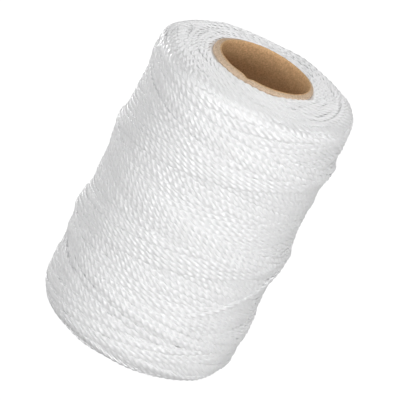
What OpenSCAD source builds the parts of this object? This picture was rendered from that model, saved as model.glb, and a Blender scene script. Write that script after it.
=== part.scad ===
// Cross-wound package of white three-strand twine on a spiral paper tube.
// Z runs along the tube. The tube stands on its lower rim at z = 0.
// All sizes are in millimetres.

/* [Paper tube] */
// Bore of the tube, the diameter that fits a dispensing spindle
bore_d = 32; // [24:1:40]
// Thickness of each of the five plies of paperboard
ply_t = 0.4; // [0.3:0.05:0.6]
// Length of the tube
tube_len = 110; // [100:1:130]
// Rounding of the outer edge at both cut ends, pressed over by the saw
rim_round = 0.8; // [0.3:0.1:1.1]

/* [Twine package] */
// Diameter of the package under its outer turns
pack_d = 66; // [60:0.2:80]
// How far the tube stands out of the winding at each end
rim_proud = 2.2; // [1.5:0.1:5]
// Rise of the end faces from their edge to the tube
crown = 0.9; // [0:0.1:1.4]
// Shoulder at the upper end: height, depth and how square it is
top_shoulder = [5.4, 7.2, 2.3];
// Shoulder at the lower end, which has slumped a little further
low_shoulder = [12, 14, 3];

/* [Outer turns] */
// Diameter of the twine
twine_d = 1.5; // [1.2:0.1:1.5]
// Turns wound in the outer layer
turns = 24; // [6:6:24]
// Turns that carry the twine from one end of the package to the other
turns_per_traverse = 3; // [2:1:4]
// Height of a pass where it rides over an older one, between centre lines
ride_over = 2.8; // [2.75:0.05:3]
// Distance of the turn-round points from the end faces
edge_inset = 1.6; // [1.2:0.1:3]

/* [Hidden] */
$fn = 72;

liner_colour = [0.50, 0.38, 0.27];
board_colour = [0.71, 0.59, 0.45];
outer_colour = [0.76, 0.66, 0.53];
twine_colour = [0.93, 0.93, 0.94];

plies = 5;
bore_r = bore_d / 2;
tube_r = bore_r + plies * ply_t;
pack_r = pack_d / 2;
pack_top = tube_len - rim_proud;
pack_low = rim_proud;

// The outer layer is laid on rings, so many to the turn. A double traverse
// misses a whole number of turns by slip_rings, which sets each pass beside
// the one before it, and makes every crossing fall on a ring of both passes.
rings_per_turn = 24;
slip_rings = 2;
double_traverse = 2 * turns_per_traverse * rings_per_turn + slip_rings;
first_ring = 1;
last_ring = first_ring + turns * rings_per_turn;
start_angle = 165;
turn_round = 1.4;
step = 360 / rings_per_turn;
twine_sides = 6;
// The twine's flats lie on the package: the chords between two rings just touch it
seat = twine_d / 2 * cos(180 / twine_sides);
chord_rise = (pack_r + seat) * (1 / cos(step / 2) - 1);

// ---- Paper tube ----

// Outline of the whole tube wall, with both outer corners rounded
module tube_wall() {
    translate([bore_r, 0])
        square([tube_r - rim_round - bore_r, tube_len]);
    translate([bore_r, rim_round])
        square([tube_r - bore_r, tube_len - 2 * rim_round]);
    for (z = [rim_round, tube_len - rim_round])
        translate([tube_r - rim_round, z])
            circle(r = rim_round, $fn = 24);
}

// One wrapped layer of board, counted outwards from the bore
module ply(n) {
    rotate_extrude()
        intersection() {
            tube_wall();
            translate([bore_r + n * ply_t, 0])
                square([ply_t, tube_len]);
        }
}

module tube_liner_ply() {
    color(liner_colour) ply(0);
}

module tube_board_ply_1() {
    color(board_colour) ply(1);
}

module tube_board_ply_2() {
    color(board_colour) ply(2);
}

module tube_board_ply_3() {
    color(board_colour) ply(3);
}

module tube_outer_ply() {
    color(outer_colour) ply(4);
}

// ---- Twine package ----

// A quarter of a superellipse that rounds a shoulder, from the side to the end face
function shoulder_arc(size, end_z, way, steps = 8) = [
    for (i = [0:steps])
        let (a = 90 * i / steps, bend = 2 / size[2])
        [pack_r - size[1] * (1 - pow(cos(a), bend)),
         end_z + way * size[0] * (1 - pow(sin(a), bend))]
];

module twine_package() {
    upper = shoulder_arc(top_shoulder, pack_top, -1);
    lower = shoulder_arc(low_shoulder, pack_low, 1);
    color(twine_colour)
        rotate_extrude()
            polygon(concat(
                [[tube_r, pack_low - crown]],
                [for (i = [len(lower) - 1:-1:0]) lower[i]],
                upper,
                [[tube_r, pack_top + crown]]));
}

// ---- Outer turns: one unbroken run of twine ----

// Height of the twine's centre line at a ring, a zigzag with rounded turns
function zigzag(ring) =
    let (half = double_traverse / 2,
         from_low = abs(ring - double_traverse * round(ring / double_traverse)),
         from_turn = min(from_low, half - from_low),
         eased = from_turn >= turn_round ? from_turn
               : (from_turn * from_turn + turn_round * turn_round) / (2 * turn_round),
         climb = (pack_top - pack_low - 2 * edge_inset) / half)
    from_low < half / 2
        ? pack_low + edge_inset + climb * eased
        : pack_top - edge_inset - climb * eased;

// Radius of the package's surface at a height
function surface_r(z) =
    let (up = max(0, z - (pack_top - top_shoulder[0])) / top_shoulder[0],
         down = max(0, pack_low + low_shoulder[0] - z) / low_shoulder[0])
    pack_r
    - top_shoulder[1] * (1 - pow(1 - pow(up, top_shoulder[2]), 1 / top_shoulder[2]))
    - low_shoulder[1] * (1 - pow(1 - pow(down, low_shoulder[2]), 1 / low_shoulder[2]));

function unit(v) = v / norm(v);
function outward(p) = unit([p[0], p[1], 0]);
function on_surface(p) = outward(p) * surface_r(p[2]) + [0, 0, p[2]];

// Which way the package's surface faces beside a point
function facing(p) =
    let (slope = (surface_r(p[2] + 0.1) - surface_r(p[2] - 0.1)) / 0.2)
    unit(outward(p) - [0, 0, slope]);

// A pass rides over each older pass that it meets. Two rings meet where they
// are alike in height and differ by whole turns.
function rides_over(ring) = len([
    for (k = [1:2 * ceil(last_ring / double_traverse)])
        let (other = k * double_traverse - ring)
        if (other >= first_ring && other < ring && (ring - other) % rings_per_turn == 0) k
]) > 0;

// The twine is up a ring before its first crossing and comes down after its last,
// or after the turn where its last crossing is the one beside the turn
function at_turn(ring) = ring % (double_traverse / 2) == 0;
function lift(ring) =
    rides_over(ring) || rides_over(ring + 1) || (at_turn(ring) && rides_over(ring - 1))
        ? ride_over : 0;

function centre(ring) =
    let (a = start_angle - 90 + step * ring,
         foot = on_surface([cos(a), sin(a), zigzag(ring)]))
    foot + facing(foot) * (seat + chord_rise + lift(ring));

laid = [for (ring = [first_ring:last_ring]) centre(ring)];

// Each end leaves the package square on, runs straight for one diameter and
// bends over towards the first laid ring. Points run from the face outwards.
bend_r = 0.65 * twine_d;
end_gap = 4 * twine_d;
function end_run(p, back) =
    let (face = on_surface(p + back * end_gap),
         out = facing(face),
         along = unit(back - out * (back * out)))
    concat(
        [face, face + out * twine_d],
        [for (a = [30, 60, 90])
            face + out * (twine_d + bend_r * sin(a)) - along * bend_r * (1 - cos(a))]);

start_run = end_run(laid[0], unit(laid[0] - laid[1]));
stop_run = end_run(laid[len(laid) - 1], unit(laid[len(laid) - 1] - laid[len(laid) - 2]));
route = concat(start_run, laid, [for (i = [len(stop_run) - 1:-1:0]) stop_run[i]]);
count = len(route);

function heading(i) = unit(
    (i == 0 ? route[1] - route[0] : unit(route[i] - route[i - 1]))
    + (i == count - 1 ? route[i] - route[i - 1] : unit(route[i + 1] - route[i])));

// The side of a ring lies across the run and along the package
side_from = len(start_run);
function sideways(i) =
    let (k = min(max(i, side_from), count - 1 - side_from))
    unit(cross(unit(route[k + 1] - route[k - 1]), outward(route[k])));

function ring_points(i) =
    let (ahead = heading(i), side = sideways(i), up = unit(cross(side, ahead)),
         across = unit(cross(ahead, up)))
    [for (s = [0:twine_sides - 1])
        let (a = 360 * (s + 0.5) / twine_sides)
        route[i] + twine_d / 2 * (cos(a) * up * -1 + sin(a) * across)];

// A tube with a ring of points at each place, closed at both ends, all in triangles
module twine_run() {
    rings = [for (i = [0:count - 1]) ring_points(i)];
    points = [for (ring = rings) for (p = ring) p];
    n = twine_sides;
    walls = [
        for (i = [0:count - 2]) for (s = [0:n - 1])
            let (a = i * n + s, b = i * n + (s + 1) % n)
            for (face = [[a, b, b + n], [a, b + n, a + n]]) face
    ];
    first_cap = [for (s = [1:n - 2]) [0, s + 1, s]];
    end = (count - 1) * n;
    last_cap = [for (s = [1:n - 2]) [end, end + s, end + s + 1]];
    polyhedron(points = points, faces = concat(walls, first_cap, last_cap), convexity = 10);
}

module twine_outer_turns() {
    color(twine_colour) twine_run();
}

// ---- Least gap between turns, measured between the centre lines' straight runs ----

function clamp01(x) = min(1, max(0, x));
function gap_between(p, p2, q, q2) =
    let (u = p2 - p, v = q2 - q, w = p - q, uu = u * u, uv = u * v, vv = v * v,
         uw = u * w, vw = v * w, d = uu * vv - uv * uv,
         s0 = d < 1e-9 ? 0 : clamp01((uv * vw - vv * uw) / d),
         t = clamp01((uv * s0 + vw) / vv),
         s = clamp01((uv * t - uw) / uu))
    norm(w + s * u - t * v);

gaps = [
    for (i = [0:len(laid) - 2])
        for (near = [-1:1])
            for (j = [i + rings_per_turn + near:rings_per_turn:len(laid) - 2])
                if (j >= 0 && abs(laid[i][2] - laid[j][2]) < 6)
                    gap_between(laid[i], laid[i + 1], laid[j], laid[j + 1]) - twine_d
];
echo(least_gap_between_turns = min(gaps), turns = turns, pairs = len(gaps));

tube_liner_ply();
tube_board_ply_1();
tube_board_ply_2();
tube_board_ply_3();
tube_outer_ply();
twine_package();
twine_outer_turns();
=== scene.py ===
"""A cross-wound reel of white three-strand twine on a paper tube.

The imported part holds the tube's plies, a plain solid for the twine package and
its outer turns. This script builds the finish round them: every visible pass of
the twine, laid in the order in which a winder lays it, and the tube's cut and
crushed paperboard. Winding is worked out in millimetres and built in metres.

The package is worked on as a height map, whose columns go round the package and
whose rows go down the meridian: its outline from the tube at the top, over the
side, to the tube at the bottom. A place is a distance along the meridian. Angles
are in degrees from the front and grow to the right.
"""

import math

import bpy
import numpy as np
from mathutils import Matrix, Vector


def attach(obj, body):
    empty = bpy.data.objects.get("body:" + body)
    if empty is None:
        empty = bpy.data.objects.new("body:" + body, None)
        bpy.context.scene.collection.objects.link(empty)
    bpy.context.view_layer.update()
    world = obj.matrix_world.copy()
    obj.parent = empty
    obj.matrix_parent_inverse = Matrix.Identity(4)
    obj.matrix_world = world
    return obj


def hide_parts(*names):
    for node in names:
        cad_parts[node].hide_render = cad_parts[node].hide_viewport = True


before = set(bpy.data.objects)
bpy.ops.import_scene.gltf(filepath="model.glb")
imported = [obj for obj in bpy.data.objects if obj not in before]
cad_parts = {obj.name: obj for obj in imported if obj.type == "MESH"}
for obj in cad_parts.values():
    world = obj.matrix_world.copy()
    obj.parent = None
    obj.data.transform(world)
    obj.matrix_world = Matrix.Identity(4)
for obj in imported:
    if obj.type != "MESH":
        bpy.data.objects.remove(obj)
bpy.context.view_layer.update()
rng = np.random.default_rng(18)
MM = 0.001


# ---- Sizes, in millimetres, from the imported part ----

def node_points(name):
    """The corners of a CAD node's mesh, in millimetres."""
    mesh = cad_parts[name].data
    co = np.zeros(len(mesh.vertices) * 3)
    mesh.vertices.foreach_get("co", co)
    return co.reshape(-1, 3) / MM


def radii(name):
    """Least and greatest distance of a CAD node's corners from the axis."""
    r = np.hypot(*node_points(name)[:, :2].T)
    return r.min(), r.max()


def span(name):
    """Least and greatest height of a CAD node's corners."""
    z = node_points(name)[:, 2]
    return z.min(), z.max()


PLIES = ["tube_liner_ply", "tube_board_ply_1", "tube_board_ply_2", "tube_board_ply_3",
         "tube_outer_ply"]
BORE_R = radii(PLIES[0])[0]
TUBE_R = radii(PLIES[-1])[1]
PLY_T = (TUBE_R - BORE_R) / len(PLIES)
TUBE_LOW, TUBE_TOP = span(PLIES[-1])
CROWN = 0.9                # rise of the package's end faces from their edge to the tube
PACK_LOW = span("twine_package")[0] + CROWN
PACK_TOP = span("twine_package")[1] - CROWN
WOUND_R = 35.0             # mean radius over the finished turns
TOP_SHOULDER = (5.35, 7.2, 2.3)   # height, depth, squareness
LOW_SHOULDER = (13.7, 20.0, 3.55)
HAIR = 0.01                # too small a size to matter


# ---- Camera: the photograph's view, rolled, of the reel standing up ----

LENS_PX = 2778.24          # focal length in pixels of the 400-pixel frame
FRAME_PX = 400
SENSOR_MM = 36.0
VIEW_DIST = 927.46         # from the lens to the middle of the package
VIEW_UP = math.radians(23.496)    # how steeply it looks down
VIEW_ROLL = math.radians(26.989)
AIM_RIGHT, AIM_UP = 0.961, 1.793  # where it aims, from the middle of the package


def make_camera():
    """The photograph's camera. x, y and ahead are its own right, up and viewing directions."""
    centre = Vector((0, 0, (PACK_LOW + PACK_TOP) / 2))
    place = centre + VIEW_DIST * Vector((0, -math.cos(VIEW_UP), math.sin(VIEW_UP)))
    ahead = (centre + Vector((AIM_RIGHT, 0, AIM_UP)) - place).normalized()
    right = ahead.cross(Vector((0, 0, 1))).normalized()
    up = right.cross(ahead)
    roll_c, roll_s = math.cos(VIEW_ROLL), math.sin(VIEW_ROLL)
    x = roll_c * right + roll_s * up
    y = -roll_s * right + roll_c * up
    data = bpy.data.cameras.new("camera")
    data.sensor_width = SENSOR_MM
    data.lens = SENSOR_MM * LENS_PX / FRAME_PX
    data.clip_start, data.clip_end = 0.05, 10
    camera = bpy.data.objects.new("camera", data)
    bpy.context.scene.collection.objects.link(camera)
    turn = Matrix((x, y, -ahead)).transposed().to_4x4()
    camera.matrix_world = Matrix.Translation(place * MM) @ turn
    bpy.context.scene.camera = camera


make_camera()


# ---- The package's outline, along one meridian from the top end of the tube down ----

ROW = 0.15                 # spacing of the height map's rows
COLUMNS = 720              # columns of the height map in one turn
SHOULDER_POINTS, FACE_POINTS = 3000, 200   # points of the outline before it is divided evenly
NORMAL_BLUR = 4            # rows to each side that the way it faces is averaged over
SHOULDER_FROM = 6          # further than this outside the tube, each height has one place


def smooth(line):
    """The moving average of a line over NORMAL_BLUR samples to each side."""
    width = 2 * NORMAL_BLUR + 1
    return np.convolve(np.pad(line, NORMAL_BLUR, mode="edge"), np.ones(width) / width, "valid")


def meridian():
    """Place, radius, height and outward normal at even steps along the package's outline."""
    def shoulder(size, end, way, a):
        height, depth, square = size
        bend = 2 / square
        return (WOUND_R - depth * (1 - np.cos(a) ** bend),
                end + way * height * (1 - np.sin(a) ** bend))
    a = np.linspace(math.pi / 2, 0, SHOULDER_POINTS)
    top_r, top_z = shoulder(TOP_SHOULDER, PACK_TOP, -1, a)
    low_r, low_z = shoulder(LOW_SHOULDER, PACK_LOW, 1, a[::-1])
    face = np.linspace(0, 1, FACE_POINTS)[:-1]
    r = np.concatenate([TUBE_R + (top_r[0] - TUBE_R) * face, top_r, low_r])
    z = np.concatenate([PACK_TOP + CROWN * (1 - face), top_z, low_z])
    keep = r >= TUBE_R - HAIR
    r, z = r[keep], z[keep]
    run = np.concatenate([[0], np.cumsum(np.hypot(np.diff(r), np.diff(z)))])
    m = np.arange(0, run[-1], ROW)
    r, z = np.interp(m, run, r), np.interp(m, run, z)
    along_r, along_z = smooth(np.gradient(r)), smooth(np.gradient(z))
    size = np.hypot(along_r, along_z)
    return m, r, z, -along_z / size, along_r / size


LINE_M, LINE_R, LINE_Z, LINE_NR, LINE_NZ = meridian()
ROWS = len(LINE_M)


def place_of_height(z):
    """The place of a height on the side or a shoulder."""
    side = LINE_R > TUBE_R + SHOULDER_FROM
    return np.interp(-z, -LINE_Z[side], LINE_M[side])


# ---- How the twine runs ----

LAY = 8.0                  # length of one turn of the three strands
HALF_W, HALF_H = 0.84, 0.42   # half width and height of the laid, pressed twine
CONTACT = 0.5              # half width of the part of it that bears on what lies below
RISE = 35.0                # axial travel in one turn
TURNS_DOWN_UP = 6.048      # turns in a double traverse: the fraction sets the passes side by side
DOUBLES = 45               # double traverses laid, over two layers of both directions
NEWEST_ANGLE = -90.0       # where the newest top turn lies
TURN_DEPTH = 1.5           # distance of the top turns from the top plane before rounding
TURN_ROUND = ((0.02, 0.12), (0.08, 0.22))   # least and most rounding of top and low turns, in turns
DRIFT, DRIFT_REACH = 0.06, 160   # a pass wanders by so much, over so many columns
MISPLACED = 0.04           # and as a whole it lies off its place by so much
END_TURN = 2.76            # the last pass ends this many turns down, at the back
ARCS = (120, 150)          # turns of the inner layers on the top end face and the low one
ARCS_FROM = 0.7            # the innermost lies this far from the tube
ARCS_DEPTH = (5, 6.5)      # the outermost lies this far down the top shoulder and up the low one
ARC_STEP, ARC_STEP_MISS = 51.9, 6   # angle from one arc to the next, and how uneven it is
ARC_HALF, ARC_UNEVEN = 38, (0.8, 1.2)   # half an arc's angle, and the least and greatest share of it
ARC_BOW = 1.9              # an arc's ends lie this much further from the tube than its middle
ARC_MISPLACED = 0.15       # an arc lies off its place by so much
ARC_DRIFT, ARC_DRIFT_REACH = 0.1, 40   # and wanders by so much, over so many columns
ARC_EDGE = 0.6 * HALF_W    # an arc keeps this far from the ends of the meridian
STRAY = ((24, 77), (116, 50))   # angle and depth of each end of a twine pulled out of line
STRAY_RISE, STRAY_DIVE = 0.45, 1.6   # it stands proud by this much, and its ends go under by this
STRAY_RUN = 16             # over so many columns


def wander(count, size, reach):
    """A smooth random drift of the given size, over a reach in samples."""
    knots = rng.normal(0, size, count // reach + 4)
    x = np.arange(count) / reach + 1
    i = x.astype(int)
    t = x - i
    t = t * t * (3 - 2 * t)
    return knots[i] * (1 - t) + knots[i + 1] * t


def traverse(top_turn, upward, top_round, low_round):
    """Columns and places of one pass, from turn to turn. Its top turn and roundings are in turns."""
    half = TURNS_DOWN_UP / 2
    first, last = (top_turn - half, top_turn) if upward else (top_turn, top_turn + half)
    column = np.arange(math.ceil(first * COLUMNS), math.ceil(last * COLUMNS))
    away = np.abs(column / COLUMNS - top_turn)
    from_top = np.sqrt(away ** 2 + top_round ** 2)
    from_low = np.sqrt((half - away) ** 2 + low_round ** 2)
    depth = TURN_DEPTH + RISE * np.where(away < half / 2, from_top, half - from_low)
    depth = depth + wander(len(column), DRIFT, DRIFT_REACH) + rng.normal(0, MISPLACED)
    return column, place_of_height(PACK_TOP - depth)


def end_arcs(inner, outer, count):
    """Turns of the inner layers, which show as arcs on an end face, from the tube outwards."""
    start = rng.uniform(0, 360)
    way = 1 if outer > inner else -1
    for k in range(count):
        share = (k + 0.5) / count
        middle = start + ARC_STEP * k + rng.normal(0, ARC_STEP_MISS)
        half = ARC_HALF * rng.uniform(*ARC_UNEVEN)
        angle = np.arange(-half, half, 360 / COLUMNS)
        foot = inner + (outer - inner) * share + rng.normal(0, ARC_MISPLACED)
        out = ARC_BOW * (angle / half) ** 2 * way
        column = np.rint((middle + angle) * COLUMNS / 360).astype(int)
        m = foot + out + wander(len(column), ARC_DRIFT, ARC_DRIFT_REACH)
        yield column, np.clip(m, ARC_EDGE, LINE_M[-1] - ARC_EDGE)


def stray_columns():
    return np.arange(*(int((angle - NEWEST_ANGLE) * COLUMNS / 360) for angle, _ in STRAY))


def stray_twine():
    """The last-pulled twine, steeper than the passes under it."""
    column = stray_columns()
    share = np.linspace(0, 1, len(column))
    depth = STRAY[0][1] + (STRAY[1][1] - STRAY[0][1]) * share
    return column, place_of_height(PACK_TOP - depth)


def stray_dive():
    """How far the stray twine lies below its place: above it, but for its two ends."""
    count = len(stray_columns())
    to_end = np.minimum(np.arange(count), np.arange(count)[::-1])
    return (STRAY_RISE + STRAY_DIVE) * np.clip(1 - to_end / STRAY_RUN, 0, 1) - STRAY_RISE


# ---- Laying the twine on a height map ----

heights = np.zeros((COLUMNS, ROWS), np.float32)
sunk = np.zeros((COLUMNS, ROWS), np.float32)   # how far what lies here has settled since the start
owner = np.full((COLUMNS, ROWS), -1, np.int32)   # number of the pass that shows here
REACH = int(math.ceil(HALF_W / ROW))   # rows to each side that a pass covers
TAUT_R = 32.0              # a taut twine comes back down on a body of this radius
STIFF = 1.0                # its stiffness rounds it off over this length
NO_SUPPORT = -1e9          # lower than any twine

SETTLE_ALONG = 1.5 / ROW   # reach of the settling, in rows
SETTLE_ROUND = 25 * COLUMNS / 360   # and in columns
SETTLE_EVERY = 10          # the end turns settle after so many of them
PAD = int(5 * SETTLE_ALONG)   # rows added past both ends, so that one doesn't act on the other
TOP_FADES_OUT = 20         # from this place on the top end gives way to the side
LOW_FADES_IN = 34          # and this far before the meridian's end the side gives way to the low end
END_FADE = 8               # each over this distance
ON_END = (1 - np.clip((LINE_M - LINE_M[0] - TOP_FADES_OUT) / END_FADE, 0, 1)
          + np.clip((LINE_M - LINE_M[-1] + LOW_FADES_IN) / END_FADE, 0, 1)).astype(np.float32)


def pass_low(count, sigma, spectrum):
    """A Gaussian average as weights on a spectrum."""
    return np.exp(-2 * (math.pi * sigma * spectrum(count)) ** 2)


def averaging(columns, rows):
    """The weights that average the height map over so many columns and rows."""
    return (pass_low(COLUMNS, columns, np.fft.fftfreq)[:, None]
            * pass_low(ROWS + 2 * PAD, rows, np.fft.rfftfreq))


def averaged(weights):
    """The height map averaged by these weights."""
    padded = np.pad(heights, ((0, 0), (PAD, PAD)), mode="edge")
    return np.fft.irfft2(np.fft.rfft2(padded) * weights, padded.shape)[:, PAD:-PAD]


SETTLED = averaging(SETTLE_ROUND, SETTLE_ALONG)


def settle():
    """The turns spread and sink where they pile up, so that the package keeps its outline."""
    even = averaged(SETTLED)
    level = even.mean(0)
    drop = (level + (even - level) * ON_END).astype(np.float32)
    heights[:] -= drop
    sunk[:] += drop


def cells_at(column, m):
    """The cell of the height map at each of these columns and places."""
    return column % COLUMNS, np.rint(m / ROW).astype(int)


def footprint(column, m):
    """The cells beside each sample of a pass, and how the twine lies in them.

    Returns their columns and rows, how high the twine's round back stands over its middle in
    each, and which of them it covers and bears on.
    """
    at, near = cells_at(column, m)
    cells = near[:, None] + np.arange(-REACH, REACH + 1)
    off = cells * ROW - m[:, None]
    bow = HALF_H * np.sqrt(np.clip(1 - (off / HALF_W) ** 2, 0, None))
    inside = (np.abs(off) < HALF_W) & (cells >= 0) & (cells < ROWS)
    return at[:, None], np.clip(cells, 0, ROWS - 1), bow, inside, np.abs(off) < CONTACT


def taut(s, support):
    """A taut line over its support on a round body: the body's curve lets it lie back down."""
    lean = support - s * s / (2 * TAUT_R)
    hull = []
    for i in range(len(s)):
        while len(hull) > 1:
            a, b = hull[-2], hull[-1]
            if (lean[b] - lean[a]) * (s[i] - s[a]) <= (lean[i] - lean[a]) * (s[b] - s[a]):
                hull.pop()
            else:
                break
        hull.append(i)
    return np.interp(s, s[hull], lean[hull]) + s * s / (2 * TAUT_R)


def soften(h, samples):
    """Rounds a line off over so many samples, as the twine's own stiffness does."""
    n = int(samples * 3)
    w = np.exp(-0.5 * (np.arange(-n, n + 1) / samples) ** 2)
    return np.convolve(np.pad(h, n, mode="edge"), w / w.sum(), "valid")


def lay(column, m, number, dive=0.0):
    """Lays one pass on the height map. Returns its columns, places and unsettled heights."""
    at, cells, bow, inside, bears = footprint(column, m)
    support = np.where(bears, heights[at, cells] + bow, NO_SUPPORT).max(1)
    r = np.interp(m, LINE_M, LINE_R)
    step = np.hypot(np.gradient(m), r * 2 * math.pi / COLUMNS)
    s = np.cumsum(step)
    h = soften(taut(s - s.mean(), support), STIFF / step.mean()) - dive
    back = (h[:, None] + bow).astype(np.float32)
    over = inside & (back > heights[at, cells])
    heights[at, cells] = np.where(over, back, heights[at, cells])
    owner[at, cells] = np.where(over, number, owner[at, cells])
    return column, m, h + sunk[cells_at(column, m)]


def wind_ends():
    """Lays the turns of the inner layers, which show on the end faces."""
    laid = []
    faces = ((ARCS_FROM, PACK_TOP - ARCS_DEPTH[0], ARCS[0]),
             (LINE_M[-1] - ARCS_FROM, PACK_LOW + ARCS_DEPTH[1], ARCS[1]))
    for inner, outer_height, count in faces:
        for column, m in end_arcs(inner, place_of_height(outer_height), count):
            laid.append(lay(column, m, len(laid)))
            if len(laid) % SETTLE_EVERY == 0:
                settle()
    return laid


def wind_side(number):
    """Lays the outer passes in order, numbered from this number on."""
    laid = []
    low_round = rng.uniform(*TURN_ROUND[1])
    for i in range(1 - DOUBLES, 1):
        top_round = rng.uniform(*TURN_ROUND[0])
        for upward in (True, False):
            column, m = traverse(i * TURNS_DOWN_UP, upward, top_round, low_round)
            if i == 0 and not upward:
                keep = column < END_TURN * COLUMNS
                column, m = column[keep], m[keep]
            laid.append(lay(column, m, number + len(laid)))
            low_round = rng.uniform(*TURN_ROUND[1]) if upward else low_round
        settle()
    return laid


end_turns = wind_ends()
passes = wind_side(len(end_turns))
stray = lay(*stray_twine(), len(end_turns) + len(passes), dive=stray_dive())


# ---- The visible twine as meshes ----

RING_STEP = 2              # samples of the height map between two rings of the mesh
SIDES = 18                 # points round the twine, six to a strand
STRANDS = 3
FULL_W, FULL_H = 1.2, 0.65   # half width and height of the twine as seen
SQUARENESS = 0.62          # pressed flat between its neighbours: 1 is oval, less is squarer
GROOVE = 0.35              # depth of the grooves between strands, as a share of the radius
GROOVE_BEND = 0.8          # less than 1 makes the grooves wider and the strands narrower
LEVEL_ROUND, LEVEL_ALONG = 8, 11   # columns and rows over which single twines are evened out
BACK = 0.8 * HALF_H        # the evened height lies this far over the middle of the twine
BULGE, BULGE_ENDS = 0.85, 0.5   # share of the heaps of twine that is left, on the side and the ends
STEP, STEP_ENDS = 0.4, 0.25   # and of the step from one twine to the next
SINK = 0.5                 # the twine as seen is thicker than as laid, so all of it goes in by this
PRESS_ALONG = 4            # samples over which a pressed twine is rounded off
HIDDEN_EDGE = 4            # samples kept on past the place where a twine is covered
SHORTEST = 6               # samples: where less of it shows, a twine is left out
RINGS_A_PIECE = 5400       # keeps a piece under 200,000 triangles
RING_SHAPE = 0.12          # distance between two rings over the girth of the twine

UNDER_BLOCK = 6            # columns and rows of the height map in one cell of the layer below
UNDER_RISE = 0.05          # this layer stands this far over the middle of the lowest twine there
UNDER_TUBE_ROWS = 3        # so many cells nearest the tube
UNDER_TUBE_LEAST = -0.65   # lie at least this high


def section():
    """Outline of three strands laid together and pressed round, as radii round the twine."""
    a = 2 * math.pi * np.arange(SIDES) / SIDES
    return a, 1 - GROOVE * (0.5 - 0.5 * np.cos(STRANDS * a)) ** GROOVE_BEND


def in_space(column, m, h):
    """Points on the package at these columns, places and heights, with the way it faces."""
    r, z, nr, nz = (np.interp(m, LINE_M, line) for line in (LINE_R, LINE_Z, LINE_NR, LINE_NZ))
    angle = np.radians(NEWEST_ANGLE) + 2 * math.pi * column / COLUMNS
    side, front = np.sin(angle), -np.cos(angle)
    point = np.stack([(r + nr * h) * side, (r + nr * h) * front, z + nz * h], 1)
    return point, np.stack([nr * side, nr * front, nz], 1)


def unit(v):
    return v / np.linalg.norm(v, axis=-1, keepdims=True)


LEVEL = averaged(averaging(LEVEL_ROUND, LEVEL_ALONG)) - BACK
LEVEL_LEFT = (BULGE + (BULGE_ENDS - BULGE) * ON_END)[None, :] * LEVEL
STEP_LEFT = np.broadcast_to(STEP + (STEP_ENDS - STEP) * ON_END, LEVEL.shape)


def pressed(h, at):
    """Heights as they are left when the twine is pressed, at these cells of the height map."""
    return LEVEL_LEFT[at] + STEP_LEFT[at] * (h - LEVEL[at]) - SINK


def rings_of(column, m, h, number):
    """Rings of the twine where it shows, run by run, with how far along it each ring is."""
    at, cells, _, inside, _ = footprint(column, m)
    mine = ((owner[at, cells] == number[:, None]) & inside).any(1)
    shown = np.convolve(mine, np.ones(2 * HIDDEN_EDGE + 1), "same") > 0.5
    here = cells_at(column, m)
    h = soften(pressed(h - sunk[here], here), PRESS_ALONG)
    point, facing = in_space(column, m, h)
    ahead = unit(np.gradient(point, axis=0))
    across = unit(np.cross(facing, ahead))
    out = np.cross(ahead, across)
    along = np.concatenate([[0], np.cumsum(np.linalg.norm(np.diff(point, axis=0), axis=1))])
    a, reach = section()
    turn = a - (2 * math.pi * along / LAY)[:, None]
    high, wide = (np.sign(v) * np.abs(v) ** SQUARENESS for v in (np.cos(turn), np.sin(turn)))
    rings = (point[:, None]
             + FULL_H * (reach * high)[..., None] * out[:, None]
             + FULL_W * (reach * wide)[..., None] * across[:, None])
    edge = np.flatnonzero(np.diff(np.concatenate([[0], shown.astype(int), [0]])))
    for first, last in zip(edge[::2], edge[1::2]):
        if last - first >= SHORTEST:
            keep = np.arange(first, last, RING_STEP)
            yield rings[keep], along[keep]


def joined(laid, first):
    """Passes that run on into one another as one, with each sample's pass, counted from first."""
    number = [np.full(len(column), first + i) for i, (column, _, _) in enumerate(laid)]
    return *(np.concatenate(part) for part in zip(*laid)), np.concatenate(number)


def visible_runs():
    """The twine where it shows: each end turn, the passes as one length, and the stray twine."""
    runs, number = [], 0
    for length in [[turn] for turn in end_turns] + [passes, [stray]]:
        runs += rings_of(*joined(length, number))
        number += len(length)
    return runs


def batches(runs):
    """The runs in groups with about as many rings each, and none with too many for one piece."""
    count = sum(len(rings) for rings, _ in runs)
    share = math.ceil(count / math.ceil(count / RINGS_A_PIECE)) + 1
    groups, held = [[]], 0
    for run in runs:
        if held >= share:
            groups.append([])
            held = 0
        groups[-1].append(run)
        held += len(run[0])
    return groups


def tube_quads(base, count):
    """The walls of a tube of so many rings whose points start at base."""
    i, k = np.arange(count - 1)[:, None], np.arange(SIDES)
    a, b = base + i * SIDES + k, base + i * SIDES + (k + 1) % SIDES
    return np.stack([a, b, b + SIDES, a + SIDES], -1).reshape(-1, 4)


def quad_map(u0, u1, v0, v1):
    """The corners of a tube's quads on a map: u grows from ring to ring and v round each ring."""
    u0, u1, v0, v1 = np.broadcast_arrays(u0, u1, v0, v1)
    return np.stack([u0, v0, u0, v1, u1, v1, u1, v0], -1).reshape(-1, 2)


def add_map(mesh, name, uv):
    mesh.uv_layers.new(name=name).data.foreach_set("uv", uv.astype(np.float32).ravel())


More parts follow.
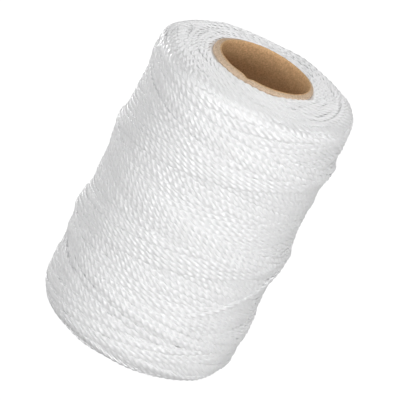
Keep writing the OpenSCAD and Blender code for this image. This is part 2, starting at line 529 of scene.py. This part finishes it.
def mesh_piece(name, runs):
    """One mesh of closed tubes, one for each run of rings, with its bake map and lay map.

    The bake map lays the tubes end to end as one long strip, cut into equal rows.
    """
    total = sum(len(rings) for rings, _ in runs)
    rows = max(1, int(math.sqrt(total * RING_SHAPE)))
    row_len = math.ceil(total / rows) + 1
    k = np.arange(SIDES)
    v0, v1 = k / SIDES, (k + 1) / SIDES
    quads, caps, lay_map, bake_map = [], [], [], []
    done = 0
    for rings, along in runs:
        count, base = len(rings), done * SIDES
        quads.append(tube_quads(base, count))
        caps += [base + k[::-1], base + (count - 1) * SIDES + k]
        lay_map.append(quad_map(along[:-1, None], along[1:, None], v0, v1))
        ring = (done + np.arange(count - 1))[:, None]
        u, v = ring % row_len / row_len, ring // row_len / rows
        bake_map.append(quad_map(u, u + 1 / row_len, v + v0 / rows, v + v1 / rows))
        done += count
    points = np.concatenate([rings.reshape(-1, 3) for rings, _ in runs])
    quads, caps = np.concatenate(quads), np.array(caps)
    loops = np.concatenate([quads.ravel(), caps.ravel()])
    starts = np.concatenate([np.arange(len(quads)) * 4, quads.size + np.arange(len(caps)) * SIDES])
    mesh = bpy.data.meshes.new(name)
    mesh.vertices.add(len(points))
    mesh.vertices.foreach_set("co", (points * MM).astype(np.float32).ravel())
    mesh.loops.add(len(loops))
    mesh.loops.foreach_set("vertex_index", loops.astype(np.int32))
    mesh.polygons.add(len(starts))
    mesh.polygons.foreach_set("loop_start", starts.astype(np.int32))
    mesh.update(calc_edges=True)
    for label, parts in (("OFBake", bake_map), ("lay", lay_map)):
        uv = np.concatenate(parts)
        add_map(mesh, label, np.concatenate([uv, np.repeat(uv[:1], caps.size, axis=0)]))
    return link_piece(name, mesh)


def link_piece(name, mesh):
    mesh.shade_smooth()
    piece = bpy.data.objects.new(name, mesh)
    bpy.context.scene.collection.objects.link(piece)
    return piece


def build_twine():
    return [mesh_piece(f"twine_winding_{i + 1}", batch)
            for i, batch in enumerate(batches(visible_runs()))]


def under_layer():
    """The twine below the visible passes, closed from tube to tube, just under their backs."""
    cols, rows = COLUMNS // UNDER_BLOCK, ROWS // UNDER_BLOCK
    blocks = heights[:, :rows * UNDER_BLOCK].reshape(cols, UNDER_BLOCK, rows, UNDER_BLOCK)
    column = np.arange(cols) * UNDER_BLOCK + UNDER_BLOCK / 2
    m = LINE_M[:rows * UNDER_BLOCK].reshape(-1, UNDER_BLOCK).mean(1)
    m[0], m[-1] = LINE_M[0], LINE_M[-1]
    middles = np.ix_(*(np.arange(count) * UNDER_BLOCK + UNDER_BLOCK // 2 for count in (cols, rows)))
    h = pressed(blocks.min((1, 3)), middles) + UNDER_RISE
    near_tube = np.r_[0:UNDER_TUBE_ROWS, rows - UNDER_TUBE_ROWS:rows]
    h[:, near_tube] = np.maximum(h[:, near_tube], UNDER_TUBE_LEAST)
    columns, places = (grid.ravel() for grid in np.meshgrid(column, m, indexing="ij"))
    point, _ = in_space(columns, places, h.ravel())
    r = np.hypot(point[:, 0], point[:, 1])
    point[:, :2] *= (np.clip(r, TUBE_R, None) / r)[:, None]
    i, j = np.meshgrid(np.arange(cols), np.arange(rows - 1), indexing="ij")
    a, b = i * rows + j, (i + 1) % cols * rows + j
    quads = np.stack([a, a + 1, b + 1, b], -1).reshape(-1, 4)
    a, b = a[:, 0], b[:, 0]
    close = np.stack([a, b, b + rows - 1, a + rows - 1], -1)
    corners = np.concatenate([quads, close])
    mesh = bpy.data.meshes.new("twine_under_layer")
    mesh.from_pydata((point * MM).tolist(), [], corners.tolist())
    lay_map = np.stack([columns * 2 * math.pi * WOUND_R / COLUMNS, places / (2 * FULL_W)], 1)
    add_map(mesh, "lay", lay_map[corners.ravel()])
    return link_piece("twine_under_layer", mesh)


# ---- The paper tube: five wrapped plies with sawn and crushed ends ----

PLY_COLUMNS = 240
LINER_ROWS = 220           # rows down the bore, fine enough for the seam of the liner
WALL_ROWS = 12
RIM_ROUND = 0.5            # rounding of the outer edge
RIM_SLANT = 0.35           # the cut ends fall away outwards by this much a millimetre
RIM_LEAN, RIM_LEAN_REACH = 0.55, 4.0   # the bore is pushed to the right at the top rim
RIM_STAYS = 0.8            # share of that push which the outermost ply doesn't follow
RIM_CLEAR = 0.7            # rows of the wall stay so far from the rounded edges
PLY_EDGE = 0.09            # rounding of each ply's own edges
SAW_WAVE, SAW_WAVES = 0.10, 7   # unevenness of the cut ends, shared by all plies
PLY_WAVE, PLY_WAVES = 0.05, 40  # and of each ply by itself
WAVE_FALL = 0.6            # how fast finer waves get smaller
NICK_ANGLE, NICK_WIDTH, NICK_DEPTH = -13, 3.2, 0.55   # a dent in the top rim
SEAM_RISE = 75             # the liner is wound on a spiral: its seam climbs this much a turn
SEAM_WIDTH, SEAM_DEPTH = 0.5, 0.09
PLY_ANGLES = 2 * math.pi * np.arange(PLY_COLUMNS) / PLY_COLUMNS


def wobble(size, waves):
    """A random line round the rim that closes on itself."""
    total = np.zeros_like(PLY_ANGLES)
    for wave in range(1, waves + 1):
        height = rng.normal(0, 1) / wave ** WAVE_FALL
        total += height * np.cos(wave * PLY_ANGLES + rng.uniform(0, 2 * math.pi))
    return size * total / np.std(total)


def rim_drop(r):
    """How far the rounded, slanting rim lies below the tube's end at a radius."""
    past = np.clip(r - (TUBE_R - RIM_ROUND), 0, RIM_ROUND)
    slant = RIM_SLANT * np.clip(r - BORE_R, 0, None)
    return RIM_ROUND - np.sqrt(RIM_ROUND ** 2 - past ** 2) + slant


def ply_profile(inner, outer, rows):
    """Closed outline of a ply, as radii, shares of the way from the low end to the top, and drops.

    The two drops, below the end at that radius, are the shared rim's and the ply's own edge's.
    """
    mid = (inner + outer) / 2
    across = [(inner, PLY_EDGE), (inner + PLY_EDGE, 0), (mid, 0), (outer - PLY_EDGE, 0),
              (outer, PLY_EDGE)]
    up = [(inner, share, 0.0, 0.0) for share in np.linspace(0, 1, rows)[1:-1]]
    top = [(r, 1.0, rim_drop(r), below) for r, below in across]
    down = [(outer, share, 0.0, 0.0) for share in np.linspace(1, 0, WALL_ROWS)[1:-1]]
    low = [(r, 0.0, rim_drop(r), below) for r, below in across[::-1]]
    return np.array(up + top + down + low)


def seam_groove(z):
    """Depth of the liner's spiral seam at these heights, round the bore."""
    off = (z / SEAM_RISE - PLY_ANGLES / (2 * math.pi) + 0.5) % 1 - 0.5
    return SEAM_DEPTH * np.exp(-0.5 * (off * SEAM_RISE / SEAM_WIDTH) ** 2)


def build_ply(index, saw_top, saw_low):
    """One ply of the tube as a closed ring."""
    inner, outer = BORE_R + index * PLY_T, BORE_R + (index + 1) * PLY_T
    profile = ply_profile(inner, outer, LINER_ROWS if index == 0 else WALL_ROWS)
    cut_top = saw_top + np.abs(wobble(PLY_WAVE, PLY_WAVES))
    cut_low = saw_low + np.abs(wobble(PLY_WAVE, PLY_WAVES))
    r, share, drop, below = profile.T[:, :, None]
    top = TUBE_TOP - cut_top - drop - below
    low = TUBE_LOW + cut_low + drop + below
    edge = PLY_EDGE + RIM_ROUND + RIM_CLEAR
    between = (TUBE_LOW + edge) + (TUBE_TOP - TUBE_LOW - 2 * edge) * share
    z = np.where(share == 1, top, np.where(share == 0, low, between))
    radius = np.broadcast_to(r, z.shape).copy()
    if index == 0:
        radius = radius + np.where((r == inner) & (share > 0) & (share < 1), seam_groove(z), 0)
    lean = RIM_LEAN * np.clip(1 - (TUBE_TOP - z) / RIM_LEAN_REACH, 0, 1)
    lean = lean * (1 - RIM_STAYS * (radius - BORE_R) / (TUBE_R - BORE_R))
    x, y = radius * np.sin(PLY_ANGLES) + lean, -radius * np.cos(PLY_ANGLES)
    point = np.stack([x, y, z], -1).reshape(-1, 3)
    i, j = np.meshgrid(np.arange(len(profile)), np.arange(PLY_COLUMNS), indexing="ij")
    this, following = i * PLY_COLUMNS, (i + 1) % len(profile) * PLY_COLUMNS
    right = (j + 1) % PLY_COLUMNS
    faces = np.stack([this + j, this + right, following + right, following + j], -1).reshape(-1, 4)
    mesh = bpy.data.meshes.new(PLIES[index] + "_paper")
    mesh.from_pydata((point * MM).tolist(), [], faces.tolist())
    return link_piece(PLIES[index] + "_paper", mesh)


def build_tube():
    saw_top, saw_low = wobble(SAW_WAVE, SAW_WAVES), wobble(SAW_WAVE, SAW_WAVES)
    saw_top, saw_low = saw_top - saw_top.min(), saw_low - saw_low.min()
    off = (np.degrees(PLY_ANGLES) - NICK_ANGLE + 180) % 360 - 180
    saw_top = saw_top + NICK_DEPTH * np.exp(-0.5 * (off / NICK_WIDTH) ** 2)
    return [build_ply(index, saw_top, saw_low) for index in range(len(PLIES))]


# ---- Materials ----

def new_material(name, colour, roughness, **more):
    material = bpy.data.materials.new(name)
    material.use_nodes = True
    shader = material.node_tree.nodes["Principled BSDF"]
    shader.inputs["Base Color"].default_value = (*colour, 1)
    shader.inputs["Roughness"].default_value = roughness
    for key, value in more.items():
        shader.inputs[key.replace("_", " ")].default_value = value
    return material, material.node_tree, shader


def node(tree, kind, **values):
    made = tree.nodes.new(kind)
    for key, value in values.items():
        if hasattr(made, key):
            setattr(made, key, value)
        else:
            made.inputs[key.replace("_", " ")].default_value = value
    return made


def ramp(tree, dark, dark_at, light, light_at):
    """A blend from one colour to another between two levels of a texture."""
    made = node(tree, "ShaderNodeValToRGB")
    for element, colour, level in zip(made.color_ramp.elements, (dark, light), (dark_at, light_at)):
        element.color = (*colour, 1)
        element.position = level
    return made


def twine_material():
    """Glossy white filament, a little mottled, with fine fibres along the twine."""
    material, tree, shader = new_material(
        "white_nylon_twine", (0.86, 0.86, 0.87), 0.38,
        Metallic=0.15, IOR=1.6, Specular_IOR_Level=1.0, Anisotropic=0.8)
    fibre_run = node(tree, "ShaderNodeTangent", direction_type="UV_MAP", uv_map="lay")
    lay_map = node(tree, "ShaderNodeUVMap", uv_map="lay")
    stretch = node(tree, "ShaderNodeMapping", Scale=(0.35, 26, 1))
    fibres = node(tree, "ShaderNodeTexNoise", Scale=1.0, Detail=3.0)
    bump = node(tree, "ShaderNodeBump", Strength=0.5, Distance=0.00004)
    tint = ramp(tree, (0.87, 0.87, 0.88), 0.3, (0.95, 0.95, 0.95), 0.7)
    tree.links.new(fibre_run.outputs["Tangent"], shader.inputs["Tangent"])
    tree.links.new(lay_map.outputs["UV"], stretch.inputs["Vector"])
    tree.links.new(stretch.outputs["Vector"], fibres.inputs["Vector"])
    tree.links.new(fibres.outputs["Fac"], bump.inputs["Height"])
    tree.links.new(bump.outputs["Normal"], shader.inputs["Normal"])
    tree.links.new(fibres.outputs["Fac"], tint.inputs["Fac"])
    tree.links.new(tint.outputs["Color"], shader.inputs["Base Color"])
    return material


def paper_material(name, dark, light, mottle, roughness):
    """Uncoated paperboard: cloudy patches of two browns with short fibres over them."""
    material, tree, shader = new_material(name, light, roughness, Specular_IOR_Level=0.25)
    place = node(tree, "ShaderNodeTexCoord")
    clouds = node(tree, "ShaderNodeTexNoise", Scale=mottle, Detail=5.0, Roughness=0.62)
    fibres = node(tree, "ShaderNodeTexNoise", Scale=2600.0, Detail=2.0, Roughness=0.5)
    blend = node(tree, "ShaderNodeMath", operation="MULTIPLY_ADD")
    blend.inputs[1].default_value = 0.35
    browns = ramp(tree, dark, 0.52, light, 0.82)
    bump = node(tree, "ShaderNodeBump", Strength=0.4, Distance=0.00008)
    for texture in (clouds, fibres):
        tree.links.new(place.outputs["Object"], texture.inputs["Vector"])
    tree.links.new(fibres.outputs["Fac"], blend.inputs[0])
    tree.links.new(clouds.outputs["Fac"], blend.inputs[2])
    tree.links.new(blend.outputs[0], browns.inputs["Fac"])
    tree.links.new(browns.outputs["Color"], shader.inputs["Base Color"])
    tree.links.new(blend.outputs[0], bump.inputs["Height"])
    tree.links.new(bump.outputs["Normal"], shader.inputs["Normal"])
    return material


TWINE = twine_material()
LINER = paper_material("kraft_liner_paper", (0.55, 0.335, 0.17), (0.78, 0.51, 0.275), 1700, 0.8)
BOARD = paper_material("grey_tan_board", (0.56, 0.41, 0.28), (0.78, 0.61, 0.45), 1700, 0.9)
OUTER = paper_material("light_tan_board", (0.58, 0.42, 0.29), (0.78, 0.61, 0.46), 1500, 0.75)
PAPERS = [(LINER, "kraft_liner"), (BOARD, "tube_board"), (BOARD, "tube_board"),
          (BOARD, "tube_board"), (OUTER, "tube_board_outer")]

for piece in build_twine():
    piece.data.materials.append(TWINE)
    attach(piece, "root")
    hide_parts("twine_outer_turns")

core = under_layer()
core.data.materials.append(TWINE)
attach(core, "root")
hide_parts("twine_package")

for index, piece in enumerate(build_tube()):
    look, kind = PAPERS[index]
    piece.data.materials.append(look)
    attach(piece, "root")
    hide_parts(PLIES[index])


# ---- Floor and light, in metres and watts ----

FLOOR_HALF = 3.0
FLOOR_GAP = 0.0001         # the floor lies this far under the tube's low end
FLOOR_GLOW, FLOOR_GLOW_SHARE = 1.2, 0.86   # the camera sees it nearly white, and the object doesn't
WORLD_LIGHT = 0.08         # the white world lights the object this much, and the camera sees it white
LAMP_AIM = Vector((0, 0, 0.06))
LAMPS = {                  # place, width and height, power
    "key": ((-0.14, -0.79, 1.02), (0.9, 0.9), 2.6),
    "front": ((-0.334, -1.246, 0.28), (0.09, 0.45), 5.3),
    "right": ((0.86, -0.96, 0.28), (0.09, 0.45), 4.5),
    "far_right": ((1.24, -0.356, 0.28), (0.05, 0.35), 3.4),
    "left": ((-1.139, -0.606, 0.28), (0.06, 0.4), 2.8),
    "top": ((0.0, 0.0, 1.4), (0.6, 0.6), 3.7),
    "back": ((0.0, 1.0, 0.7), (0.9, 0.9), 4.4),
    "back_left": ((-0.9, 0.9, 0.1), (0.2, 0.15), 4.2),
    "back_right": ((0.9, 0.9, 0.1), (0.2, 0.15), 1.2),
}


def make_lamp(name, place, size, watts):
    data = bpy.data.lights.new(name, "AREA")
    data.shape = "ELLIPSE"
    data.size, data.size_y = size
    data.energy = watts
    made = bpy.data.objects.new(name, data)
    bpy.context.scene.collection.objects.link(made)
    made.location = place
    made.rotation_mode = "QUATERNION"
    made.rotation_quaternion = (LAMP_AIM - Vector(place)).to_track_quat("-Z", "Y")


def floor_material():
    """Pale and dull, and to the camera it glows."""
    material, tree, shader = new_material("floor_white", (0.5, 0.5, 0.5), 0.9)
    glow = node(tree, "ShaderNodeEmission", Strength=FLOOR_GLOW)
    paths = node(tree, "ShaderNodeLightPath")
    share = node(tree, "ShaderNodeMath", operation="MULTIPLY")
    share.inputs[1].default_value = FLOOR_GLOW_SHARE
    mix = node(tree, "ShaderNodeMixShader")
    tree.links.new(paths.outputs["Is Camera Ray"], share.inputs[0])
    tree.links.new(share.outputs[0], mix.inputs["Fac"])
    tree.links.new(shader.outputs["BSDF"], mix.inputs[1])
    tree.links.new(glow.outputs["Emission"], mix.inputs[2])
    tree.links.new(mix.outputs["Shader"], tree.nodes["Material Output"].inputs["Surface"])
    return material


def make_floor():
    half = FLOOR_HALF
    mesh = bpy.data.meshes.new("floor")
    mesh.from_pydata([(-half, -half, 0), (half, -half, 0), (half, half, 0), (-half, half, 0)],
                     [], [(0, 1, 2, 3)])
    mesh.materials.append(floor_material())
    floor = bpy.data.objects.new("floor", mesh)
    floor.location.z = TUBE_LOW * MM - FLOOR_GAP
    bpy.context.scene.collection.objects.link(floor)


def make_world():
    world = bpy.data.worlds.new("world")
    bpy.context.scene.world = world
    world.use_nodes = True
    tree = world.node_tree
    ground = tree.nodes["Background"]
    ground.inputs["Color"].default_value = (1, 1, 1, 1)
    paths = node(tree, "ShaderNodeLightPath")
    level = node(tree, "ShaderNodeMapRange", To_Min=WORLD_LIGHT, To_Max=1.0)
    tree.links.new(paths.outputs["Is Camera Ray"], level.inputs["Value"])
    tree.links.new(level.outputs["Result"], ground.inputs["Strength"])


make_floor()
make_world()
for name, (place, size, watts) in LAMPS.items():
    make_lamp(name, place, size, watts)
bpy.context.scene.view_settings.view_transform = "Standard"
